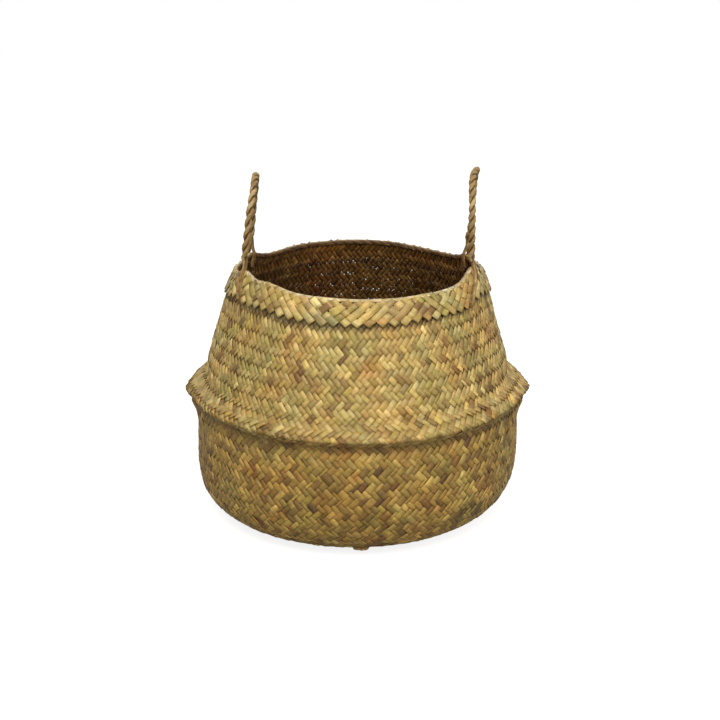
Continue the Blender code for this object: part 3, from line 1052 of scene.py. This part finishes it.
def band_line():
    """(radius, height) up the middle of the band's layer, from below its foot to over its top."""
    height = np.linspace(BAND_FOOT[1] - BAND_BELOW, RIM[1] + BAND_ABOVE, CORNER_POINTS)
    share = (height - BAND_FOOT[1]) / (RIM[1] - BAND_FOOT[1])
    return np.stack([BAND_FOOT[0] + (RIM[0] - BAND_FOOT[0]) * share + BAND_OFFSET, height], 1)


def band_signs(lean, strip, crossings):
    """Over one and under one, but for a few crossings where a strip skips its dive."""
    owner = np.mod(strip if lean > 0 else strip - crossings, BAND_STRIPS)
    draw = np.random.default_rng(SKIP_SEED).uniform(0, 1, (BAND_STRIPS, BAND_CROSSINGS))
    skips = draw[owner, np.clip(crossings - FIRST_CROSSING, 0, BAND_CROSSINGS - 1)] < BAND_SKIPS
    sign = np.where(np.mod(crossings, 2) == 0, -1.0, 1.0)
    return lean * np.where(skips & (crossings > 0), -sign, sign)


def band_run(rows):
    """Number of the float that each row of the band belongs to."""
    return run_of(2 * (rows + BAND_FIRST_RUN))


def band_strip(line, grass_of, lean, strip):
    """Sections of one strip of the band, on the lattice of its two leans."""
    grass, other = grass_of[lean], grass_of[-lean]
    signs = band_signs(lean, strip, np.arange(FIRST_CROSSING, int(BAND_ROWS) + 3))
    rows = row_samples(signs, FIRST_CROSSING, BAND_START, BAND_ROWS)
    level = dive(signs, FIRST_CROSSING, rows)
    width = pinched(np.where(rows < BAND_END_ROWS, 1, level)) * BAND_FULLNESS
    across = shifted_index(grass.spread, strip + grass.wander(strip, rows)[:, None] + width)
    along = shifted_index(other.spread, (strip + lean * rows)[:, None])
    angle = (across + along) * np.pi / BAND_STRIPS
    row = lean * (along - across)
    radius, height, out, up = line.at((row + 1) * BAND_ROW + BAND_LINE_START)
    rise = grass.rise(strip, band_run(rows), level)
    rise = rise + BAND_FOOT_RISE * smooth(BAND_FOOT_ROW - rows)[:, None]
    return rows, settled(radius + out * rise, angle, height + up * rise)


def plaited_band():
    """The band's strips, whose slanted ends make the row of teeth along its foot."""
    grass_of = {}
    for lean in (RIGHT, LEFT):
        grass_of[lean] = Grass(BAND_SEEDS[lean], BAND_STRIPS, BAND_UNEVENNESS)
        grass_of[lean].tilt += BAND_TILT * lean
    line = Line(band_line())
    bundle = Bundle()
    for lean, grass in grass_of.items():
        for strip in range(BAND_STRIPS):
            rows, sections = band_strip(line, grass_of, lean, strip)
            colours = strip_colours(grass, strip, band_run(middles(rows)), BAND_GRASSES)
            bundle.add(sections, patched(colours, middles(sections.mean(axis=1))), rows)
    return bundle.piece("rim_band_plait")


def fold_line():
    """(radius, height) over the rim: up its outer side, round the edge and down inside."""
    foot = RIM[1] + FOLD_FOOT
    outer, inner = RIM[0] + FOLD_OUT, RIM[0] - FOLD_IN
    middle, half = (outer + inner) / 2, (outer - inner) / 2
    turn = np.linspace(0, np.pi, FOLD_POINTS)
    rise = FOLD_RISE * np.sin(turn) ** FOLD_ROUNDNESS
    arch = np.stack([middle + half * np.cos(turn), foot + rise], 1)
    down = np.array([[outer + FOLD_FLARE, foot - FOLD_DOWN_OUTSIDE]])
    inside = np.array([[inner - FOLD_FLARE, foot - FOLD_DOWN_INSIDE]])
    return np.concatenate([down, arch, inside])


def rim_fold():
    """Strips laid slantwise over the rim, each over the edge of the one before."""
    line = Line(fold_line())
    grass = Grass(FOLD_SEED, FOLD_STRIPS, FOLD_UNEVENNESS)
    bundle = Bundle()
    share = np.linspace(0, 1, FOLD_SECTIONS)
    runs = np.arange(FOLD_SECTIONS - 1) // FOLD_SECTIONS_ALIKE
    fold_in_shade = smooth((share[:-1, None] - FOLD_TURN) / FOLD_TURN_REACH)
    thick = SECTION[:, 1] * FOLD_HALF_THICKNESS + SECTION[:, 2] * FOLD_CROWN
    thick = thick + SECTION[:, 0] * FOLD_OVERLAP
    for strip in range(FOLD_STRIPS):
        wander = grass.wander(strip, share * FOLD_WANDER)[:, None]
        across = shifted_index(grass.spread, strip + wander + SECTION[:, 0] * FOLD_HALF_WIDTH)
        angle = 2 * np.pi * (across - FOLD_SLANT * share[:, None]) / FOLD_STRIPS
        distance = np.broadcast_to((line.along[-1] * share)[:, None], angle.shape)
        radius, height, out, up = line.at(distance)
        rise = thick + grass.raised[strip, :FOLD_SECTIONS][:, None]
        sections = settled(radius + out * rise, angle, height + up * rise)
        colours = strip_colours(grass, strip, runs, FOLD_GRASSES)
        # Painted shade: the strips darken as they turn to the rim's inner side
        colours = colours * (1 - (1 - FOLD_INNER_SHADE) * fold_in_shade)
        bundle.add(sections, colours, share * FOLD_FIBRES, FOLD_UNDERSIDE_SHADE)
    return bundle.piece("rim_fold")


# Ropes


def around_axis(angle):
    """The level direction at an angle round the basket."""
    return np.array([math.cos(angle), math.sin(angle), 0.0])


def end_angle(side, end, turn):
    """An angle from a handle's own side towards its front or rear, as one round the basket."""
    turn = -turn if end == FRONT else turn
    return turn if side == RIGHT else math.pi - turn


def foot_angle(side, end):
    """Angle round the basket at which a rope stands on the rim."""
    return end_angle(side, end, math.atan2(ROPE_FEET[side][end], HINGE_REACH))


def hole_angle(side, end):
    """Angle round the basket at which a rope's outer ply goes in under the band."""
    return end_angle(side, end, math.radians(ROPE_HOLES[side][end]))


def handle_line(side):
    """Points along the middle of a handle's rope, from its front foot to its rear foot."""
    turn = np.linspace(0, np.pi, ROPE_POINTS)
    across = -np.sign(np.cos(turn)) * np.abs(np.cos(turn)) ** (2 / HANDLE_SHOULDER)
    up = np.sin(turn) ** (2 / HANDLE_SHOULDER) * HANDLE_HEIGHTS[side]
    across = across * np.where(across < 0, *ROPE_FEET[side])
    lean = HANDLE_LEANS[side]
    leaning = np.stack([up * math.sin(lean), across, up * math.cos(lean)], 1)
    line, along = resampled(leaning, PLY_STEP)
    line[:, 0] -= side * np.interp(along / along[-1], *zip(*ROPE_BENDS[side]))
    return softened(line, ROPE_SOFTENING) + (side * HINGE_REACH, 0, HINGE_HEIGHT)


def tail(spots, foot, hole):
    """Points of a ply's end that runs over the band, from its end up to the rope's foot."""
    slope = (RIM[0] - BAND_FOOT[0]) / (RIM[1] - BAND_FOOT[1])
    reach, height = np.array(spots).T
    angle = hole + (foot - hole) * smooth((height - BAND_FOOT[1]) / (RIM[1] - BAND_FOOT[1]))
    return settled(BAND_FOOT[0] + slope * (height - BAND_FOOT[1]) + reach, angle, height)


def ply_spots(number):
    """The points of one ply's end at the front and at the rear."""
    return (OUTER_TAIL, OUTER_TAIL) if number == 0 else (INNER_TAIL, REAR_INNER_TAIL)


def twisted_ply(side, number):
    """One of a handle's two plies with the way that its broad side faces, from tail to tail."""
    line = handle_line(side)
    lean = HANDLE_LEANS[side]
    flat = np.array([math.cos(lean), 0.0, -math.sin(lean)])
    other = np.cross(tangents(line), flat)
    turns = round(len(line) * PLY_STEP / ROPE_PITCH)
    front, rear = foot_angle(side, FRONT), foot_angle(side, REAR)
    beside = front - side * np.pi / 2
    turn = number * math.pi + np.linspace(beside, -rear + 2 * math.pi * turns, len(line))
    offset = flat * np.cos(turn)[:, None] + other * np.sin(turn)[:, None]
    rope = (line + offset * PLY_OFFSET)[ROPE_TRIM:-ROPE_TRIM]
    faces = offset[ROPE_TRIM:-ROPE_TRIM]
    spots = ply_spots(number)
    holes = [hole_angle(side, end) if number == 0 else foot_angle(side, end) for end in (FRONT, REAR)]
    apart = side * TAIL_APART * (2 * number - 1)
    front_tail = tail(spots[FRONT], front + apart, holes[FRONT])
    rear_tail = tail(spots[REAR], rear, holes[REAR])[::-1]
    points = np.concatenate([front_tail, rope, rear_tail])
    front_faces = np.tile(faces[0], (len(front_tail), 1))
    rear_faces = np.tile(around_axis(rear), (len(rear_tail), 1))
    facing_out = np.concatenate([front_faces, faces, rear_faces])
    laid = np.concatenate([np.zeros(len(front_tail)), np.ones(len(rope)), np.zeros(len(rear_tail))])
    run, along = resampled(np.concatenate([points, facing_out, laid[:, None]], 1), PLY_STEP)
    return softened(run, PLY_SOFTENING), along


def ply_sections(run, along, spin, seed):
    """A ply of twisted grass, ridged by fibres that turn as they run.

    The columns of the run are places, the way that its depth faces, and 1 where it is laid into
    the rope, where it is broader than it is deep."""
    draw = np.random.default_rng(seed)
    line, out, laid = run[:, :3], run[:, 3:6], run[:, 6]
    tangent = tangents(line)
    out = out - tangent * np.sum(out * tangent, axis=1)[:, None]
    out /= np.linalg.norm(out, axis=1)[:, None]
    side = np.cross(tangent, out)
    turn = np.arange(PLY_SIDES) * 2 * np.pi / PLY_SIDES
    twisted = turn + (spin * along)[:, None]
    size = 1
    phases = iter(draw.uniform(0, 2 * np.pi, len(PLY_RIDGES) + len(PLY_SWELLS)))
    for height, number in PLY_RIDGES:
        size = size + height * np.cos(number * twisted + next(phases))
    for height, waves in PLY_SWELLS:
        size = size + height * np.sin(along * waves + next(phases))[:, None]
    to_end = np.minimum(along, along[-1] - along)
    size = size * np.minimum(1, PLY_END + to_end / PLY_TAPER)[:, None]
    depth = TAIL_RADIUS + (PLY_DEPTH - TAIL_RADIUS) * laid
    breadth = TAIL_RADIUS + (PLY_BREADTH - TAIL_RADIUS) * laid
    deep, broad = depth[:, None] * np.cos(turn) * size, breadth[:, None] * np.sin(turn) * size
    return line[:, None, :] + out[:, None, :] * deep[..., None] + side[:, None, :] * broad[..., None]


def round_ply(points, radius, spin, seed):
    """A ply of its own along a few points, with the same ridged fibres."""
    line, along = resampled(points, PLY_STEP)
    slanted = (0.3, 0.5, 0.8)
    out = np.cross(tangents(line), slanted)
    run = np.concatenate([line, out, np.zeros((len(line), 1))], 1)
    sections = ply_sections(run, along, spin, seed)
    return line[:, None, :] + (sections - line[:, None, :]) * radius / TAIL_RADIUS, along


def rope_colours(count, seed):
    """A colour for each length between sections of a ply, a few of them alike."""
    draw = np.random.default_rng(seed)
    groups = count // ROPE_SECTIONS_ALIKE + 2
    picks = np.repeat(draw.uniform(0, 1, groups), ROPE_SECTIONS_ALIKE)[:count]
    tones = np.repeat(draw.normal(0, ROPE_TONE, groups), ROPE_SECTIONS_ALIKE)[:count]
    return picked(ROPE_GRASSES, picks) * np.exp(tones)[:, None]


def handle_rope(name, side):
    """Both plies of a handle, with painted shade where they lie against each other."""
    bundle = Bundle()
    outward = np.cos((np.arange(PLY_SIDES) + 0.5) * 2 * np.pi / PLY_SIDES)
    face_shade = 1 - (1 - LAID_SHADE) * smooth((LAID_START - outward) / LAID_REACH)[:, None]
    for number in (0, 1):
        run, along = twisted_ply(side, number)
        seed = PLY_SEED + number + (2 if side == RIGHT else 0)
        sections = ply_sections(run, along, ROPE_TWIST, seed)
        lighter = 1 + (TAIL_LIGHTNESS - 1) * (1 - run[:-1, 6:7])
        colours = rope_colours(len(along) - 1, PLY_COLOUR_SEED + number) * lighter
        bundle.add(sections, colours, along * FIBRES_PER_METRE, face_shade)
    return bundle.piece(name)


def tail_knot(name, angle):
    """The knot inside the wall that keeps a ply from slipping out, with its short cut end.

    It is tied as a trefoil, the plainest knot."""
    turn = np.linspace(0, 2 * np.pi, KNOT_POINTS)
    out, up = around_axis(angle), np.array([0, 0, 1.0])
    across = np.cross(up, out)
    middle = settled(KNOT_PLACE[0], angle, KNOT_PLACE[1])
    loop = np.outer(np.sin(turn) + 2 * np.sin(2 * turn), across)
    loop = loop + np.outer(np.cos(turn) - 2 * np.cos(2 * turn), up)
    loop = loop - np.outer(KNOT_DEPTH * np.sin(3 * turn), out)
    beside, over = np.array(KNOT_END).T
    bundle = Bundle()
    cut_end = np.outer(beside, across) + np.outer(over, up)
    for number, run in enumerate((loop * KNOT_SIZE, cut_end)):
        sections, along = round_ply(middle + run, KNOT_PLY, KNOT_TWIST, KNOT_SEED + number)
        # Painted shade: the knot inside the wall takes the inner side's tint
        colours = rope_colours(len(along) - 1, KNOT_SEED) * INNER_SHADE_TINT
        bundle.add(sections, colours, along * FIBRES_PER_METRE, PLAIN)
    return bundle.piece(name)


def base_knot():
    """The strip ends knotted together under the front edge of the bottom."""
    bundle = Bundle()
    draw = np.random.default_rng(BASE_KNOT_SEED)
    across, deep, high = BASE_LOOP_SIZE
    for number in range(BASE_LOOPS):
        length = draw.uniform(*BASE_LOOP_TURNS) * np.pi
        start = draw.uniform(0, BASE_LOOP_START)
        turn = np.linspace(0, 1, BASE_LOOP_POINTS) * length + start
        tilt = draw.uniform(-BASE_LOOP_TILT, BASE_LOOP_TILT)
        up = np.sin(turn) * high + BASE_LOOP_RISE * math.sin(tilt)
        loop = np.stack([np.cos(turn) * across, np.sin(turn) * deep * math.cos(tilt), up], 1)
        play = draw.uniform(-BASE_LOOP_PLAY, BASE_LOOP_PLAY)
        points = loop + ((number - BASE_LOOP_MIDDLE) * BASE_LOOP_STEP, play, 0) + BASE_KNOT_PLACE
        seed = BASE_LOOP_SEED + number
        sections, along = round_ply(points, BASE_KNOT_PLY, BASE_KNOT_TWIST, seed)
        picks = draw.uniform(0, 1, len(along) - 1)
        colours = picked(ROPE_GRASSES, picks) * BASE_KNOT_LIGHTNESS
        bundle.add(sections, colours, along * FIBRES_PER_METRE, PLAIN)
    return bundle.piece("base_knot_ends")


# Finishes


def seagrass(name, roughness):
    """Dry flat seagrass: colour with painted shade, fine fibres along it, blotches and flecks."""
    finish = Finish(name)
    # The attribute holds each face's colour together with its painted shade
    own = finish.node("ShaderNodeAttribute", {"attribute_name": "grass"})
    place = finish.node("ShaderNodeUVMap", {"uv_map": "strip"})
    fibres = finish.noise(place, *FIBRES)
    blotches = finish.noise(place, *BLOTCHES)
    flecks = finish.noise(place, *FLECKS)
    tone = finish.range(fibres, *FIBRE_TONES) * finish.range(blotches, *BLOTCH_TONES)
    tone = tone * finish.range(flecks, *FLECK_TONES)
    shade = finish.node("ShaderNodeCombineColor", None, {0: tone, 1: tone, 2: tone})
    smoothest, roughest = roughness + SMOOTHEST, roughness + ROUGHEST
    return finish.set(
        Base_Color=finish.mix(1.0, own, shade, "MULTIPLY"),
        Roughness=finish.range(fibres, *SHEEN_FIBRES, smoothest, roughest),
        Normal=finish.bump(fibres + blotches * BLOTCH_GRAIN, GRAIN_DEPTH, GRAIN_STRENGTH),
    )


# Put together


def finish_piece(item, material, body=None, stands_for=()):
    """Give a piece its material, the nodes that it stands for, and the body it rides on."""
    item.data.materials.append(material)
    if stands_for:
        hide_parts(*stands_for)
    if body:
        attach(item, body)
    return item


def dress_wall():
    """The bottom, the bowl, the ridge, the neck and the neck's end behind the band."""
    grass = seagrass("dry_plaited_seagrass", PLAIT_ROUGHNESS)
    bottom = plaited_wall("bottom_plait", (RIGHT, LEFT), (0.0, BOTTOM_ROWS), BOWL_GRASSES)
    finish_piece(bottom, grass, "basket", ("base_mat",))
    for lean, side in ((RIGHT, "right"), (LEFT, "left")):
        rows = (BOTTOM_ROWS, LIP_ROW)
        bowl = plaited_wall("bowl_plait_" + side, (lean,), rows, BOWL_GRASSES, BOWL_SHADE)
        finish_piece(bowl, grass, "basket", ("belly_wall",) if lean > 0 else ())
        rows = (LIP_ROW, NECK_ROW)
        ridge = plaited_wall("ridge_plait_" + side, (lean,), rows, NECK_GRASSES, RIDGE_SHADE)
        finish_piece(ridge, grass, "basket", ("fold_ridge",) if lean > 0 else ())
        neck = plaited_wall(
            "neck_plait_" + side, (lean,), (NECK_ROW, BAND_ROW_OF_WALL), NECK_GRASSES,
            foot_shadow=FOOT_SHADOW,
        )
        finish_piece(neck, grass, None, ("neck_wall",) if lean > 0 else ())
        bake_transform(neck)
    lining = plaited_wall(
        "rim_lining_plait", (RIGHT, LEFT), (BAND_ROW_OF_WALL, TOP_ROW), NECK_GRASSES,
        BEHIND_BAND_SHADE, INNER_SHADE_TINT * LINING_LIGHTNESS / BEHIND_BAND_SHADE,
    )
    finish_piece(lining, grass, "rim", ("rim_band_inner",))


def dress_rim():
    """The band round the rim and the strips folded over its edge."""
    grass = seagrass("pale_folded_seagrass", RIM_ROUGHNESS)
    finish_piece(plaited_band(), grass, "rim", ("rim_band_outer",))
    finish_piece(rim_fold(), grass, "rim", ("rim_edge",))


def dress_handles():
    """The ropes and all the knots."""
    rope = seagrass("twisted_seagrass_rope", ROPE_ROUGHNESS)
    for side, name in ((LEFT, "left"), (RIGHT, "right")):
        item = handle_rope(name + "_handle_rope", side)
        nodes = ["handle_" + name, f"straddle_{name}_front", f"straddle_{name}_rear"]
        finish_piece(item, rope, None, nodes)
        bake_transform(item)
        for number, end in enumerate(("front", "rear")):
            knot = tail_knot(f"{name}_{end}_knot", foot_angle(side, number))
            finish_piece(knot, rope, "rim", (f"tail_knot_{name}_{end}",))
    finish_piece(base_knot(), rope, "basket", ("base_knot",))


# Floor, light and camera


def add_floor():
    """A plain white floor that keeps the basket's soft shadow."""
    mesh = bpy.data.meshes.new("floor")
    corners = ((-1, -1), (1, -1), (1, 1), (-1, 1))
    points = [(x * FLOOR_HALF, y * FLOOR_HALF, 0) for x, y in corners]
    mesh.from_pydata(points, [], [(0, 1, 2, 3)])
    floor = bpy.data.objects.new("floor", mesh)
    bpy.context.scene.collection.objects.link(floor)
    finish = Finish("white_floor")
    seen = finish.node("ShaderNodeLightPath", output="Is Camera Ray")
    finish.set(
        Base_Color=finish.mix(seen, FLOOR_SHADE, FLOOR_WHITE),
        Roughness=1.0,
        Specular_IOR_Level=0.0,
        Emission_Color=finish.mix(seen, BLACK, FLOOR_GLOW),
        Emission_Strength=1.0,
    )
    floor.data.materials.append(finish.material)


def add_world():
    """Soft white surroundings, pure white where the camera or a reflection shows them."""
    world = bpy.data.worlds.new("studio")
    bpy.context.scene.world = world
    world.use_nodes = True
    world.node_tree.nodes.clear()
    studio = Nodes(world.node_tree)
    rays = ("Is Camera Ray", "Is Glossy Ray", "Is Transmission Ray")
    camera, glossy, through = [studio.node("ShaderNodeLightPath", output=ray) for ray in rays]
    light, plain = [
        studio.node("ShaderNodeBackground", None, {"Color": WHITE, "Strength": strength})
        for strength in (WORLD_LIGHT, 1.0)
    ]
    seen = camera.larger(glossy).larger(through)
    mixed = studio.node("ShaderNodeMixShader", None, {0: seen, 1: light, 2: plain})
    studio.node("ShaderNodeOutputWorld", None, {"Surface": mixed})


def add_lamp(name, place, size, power):
    """A soft square lamp that points at the basket."""
    data = bpy.data.lights.new(name, "AREA")
    data.size = size
    data.energy = power
    lamp = bpy.data.objects.new(name, data)
    lamp.location = place
    lamp.rotation_euler = (Vector(LAMP_AIM) - Vector(place)).to_track_quat("-Z", "Y").to_euler()
    bpy.context.scene.collection.objects.link(lamp)


def add_camera():
    """The photograph's view."""
    data = bpy.data.cameras.new("camera")
    data.lens = CAMERA_LENS
    data.sensor_width = CAMERA_SENSOR
    camera = bpy.data.objects.new("camera", data)
    camera.location = CAMERA_PLACE
    camera.rotation_euler = (math.radians(90 - CAMERA_DOWN), 0, 0)
    bpy.context.scene.collection.objects.link(camera)
    bpy.context.scene.camera = camera


dress_wall()
dress_rim()
dress_handles()
add_floor()
add_world()
for lamp_name, lamp in LAMPS.items():
    add_lamp(lamp_name, **lamp)
add_camera()
bpy.context.scene.view_settings.view_transform = "Standard"
